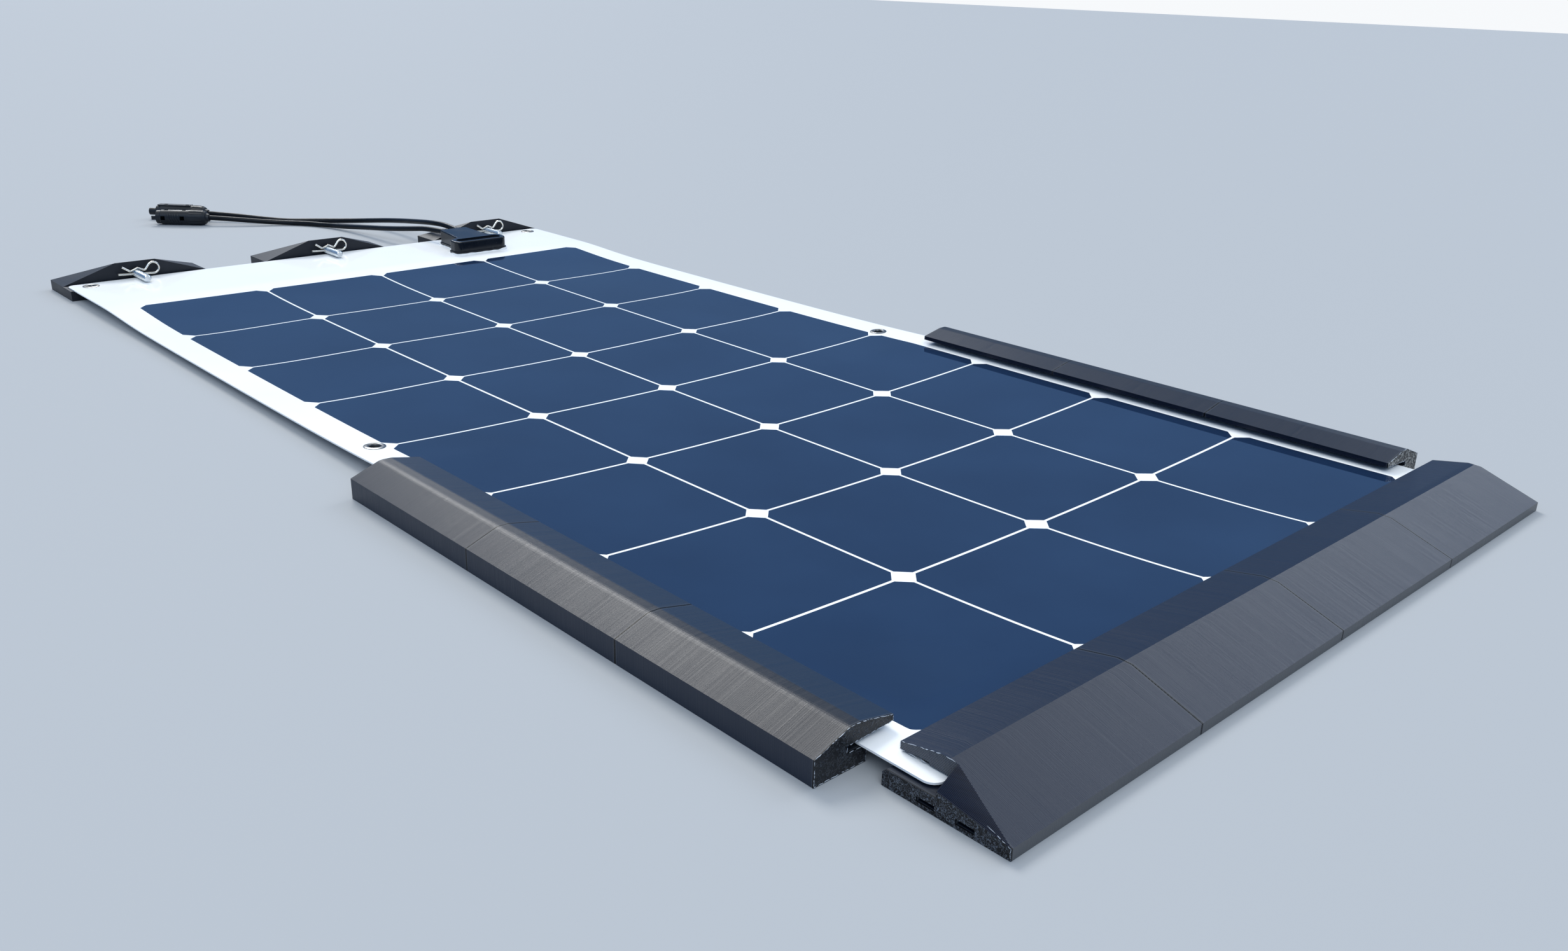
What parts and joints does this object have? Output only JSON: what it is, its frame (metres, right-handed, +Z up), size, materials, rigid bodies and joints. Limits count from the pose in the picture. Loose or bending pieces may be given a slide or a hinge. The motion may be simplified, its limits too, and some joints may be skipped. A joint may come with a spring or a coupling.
{
  "type": "flexible solar sheet",
  "caption": "Semi-flexible laminate of dark cells held on a flat roof by printed edge rails, bolt brackets and R-clips, with a junction box and two leads.",
  "frame": {"origin": "centre of the footprint of the rails, brackets and sheet (leads left out), on the roof surface", "axes": "+X along the near rail to its right end, +Y along the sheet towards the junction box, +Z up from the roof"},
  "size_m": [0.617, 1.612, 0.0301],
  "materials": {
    "printed_plastic": "charcoal 3-D-printed plastic, fine layer lines",
    "zinc_steel": "zinc-plated steel",
    "clip_wire": "bright spring wire",
    "eyelet_metal": "nickel-plated eyelet",
    "backsheet_film": "white polymer backsheet",
    "white_encapsulant": "white encapsulant",
    "clear_film": "clear glossy front film",
    "silicon_cell": "navy silicon under glossy film",
    "tinned_copper": "tinned copper ribbon",
    "box_plastic": "glossy black moulding",
    "sealant": "white sealant bead",
    "terminal_metal": "plated brass",
    "diode_epoxy": "black epoxy",
    "gland_rubber": "black moulded strain relief",
    "cable_jacket": "black cable jacket, satin",
    "seal_rubber": "black seal",
    "connector_plastic": "black moulded connector"
  },
  "bodies": {
    "root": {"backsheet": "backsheet_film", "bracket_left": "printed_plastic", "bracket_middle": "printed_plastic", "bracket_right": "printed_plastic", "bus_ribbons": "tinned_copper", "bypass_diodes": "diode_epoxy", "cable_gland_left": "gland_rubber", "cable_gland_right": "gland_rubber", "cable_left": "cable_jacket", "cable_right": "cable_jacket", "cell_interconnects": "tinned_copper", "eyelet_tops": "eyelet_metal", "eyelet_washers": "eyelet_metal", "front_encapsulant": "clear_film", "front_film": "clear_film", "junction_box_base": "box_plastic", "junction_box_lid": "box_plastic", "junction_box_sealant": "sealant", "left_rail_1": "printed_plastic", "left_rail_2": "printed_plastic", "left_rail_3": "printed_plastic", "near_rail_1": "printed_plastic", "near_rail_2": "printed_plastic", "near_rail_3": "printed_plastic", "near_rail_4": "printed_plastic", "plug_body": "connector_plastic", "plug_cap_nut": "connector_plastic", "plug_contact": "terminal_metal", "plug_seal": "seal_rubber", "rear_encapsulant": "white_encapsulant", "right_rail_1": "printed_plastic", "right_rail_2": "printed_plastic", "right_rail_3": "printed_plastic", "socket_body": "connector_plastic", "socket_cap_nut": "connector_plastic", "socket_contact": "terminal_metal", "socket_seal": "seal_rubber", "solar_cells": "silicon_cell", "terminals": "terminal_metal"},
    "bolt_left_body": {"bolt_left": "zinc_steel"},
    "r_clip_left_body": {"r_clip_left": "clip_wire", "r_clip_left_spring_leg": "clip_wire"},
    "bolt_middle_body": {"bolt_middle": "zinc_steel"},
    "r_clip_middle_body": {"r_clip_middle": "clip_wire", "r_clip_middle_spring_leg": "clip_wire"},
    "bolt_right_body": {"bolt_right": "zinc_steel"},
    "r_clip_right_body": {"r_clip_right": "clip_wire", "r_clip_right_spring_leg": "clip_wire"}
  },
  "joints": [
    {"name": "bolt_left_turn", "type": "hinge", "parent": "root", "child": "bolt_left_body", "pos_m": [-0.2105, 0.58225, 0.0153], "axis": [0, -1, 0], "range_deg": [0, 12]},
    {"name": "r_clip_left_slide", "type": "slide", "parent": "bolt_left_body", "child": "r_clip_left_body", "axis": [0.9981, 0, -0.061], "range_m": [0, 0.026], "deforming": ["r_clip_left_spring_leg"]},
    {"name": "bolt_middle_turn", "type": "hinge", "parent": "root", "child": "bolt_middle_body", "pos_m": [0, 0.58225, 0.0153], "axis": [0, -1, 0], "range_deg": [0, 12]},
    {"name": "r_clip_middle_slide", "type": "slide", "parent": "bolt_middle_body", "child": "r_clip_middle_body", "axis": [0.9981, 0, -0.061], "range_m": [0, 0.026], "deforming": ["r_clip_middle_spring_leg"]},
    {"name": "bolt_right_turn", "type": "hinge", "parent": "root", "child": "bolt_right_body", "pos_m": [0.2105, 0.58225, 0.0153], "axis": [0, -1, 0], "range_deg": [0, 12]},
    {"name": "r_clip_right_slide", "type": "slide", "parent": "bolt_right_body", "child": "r_clip_right_body", "axis": [0.9981, 0, -0.061], "range_m": [0, 0.026], "deforming": ["r_clip_right_spring_leg"]}
  ]
}
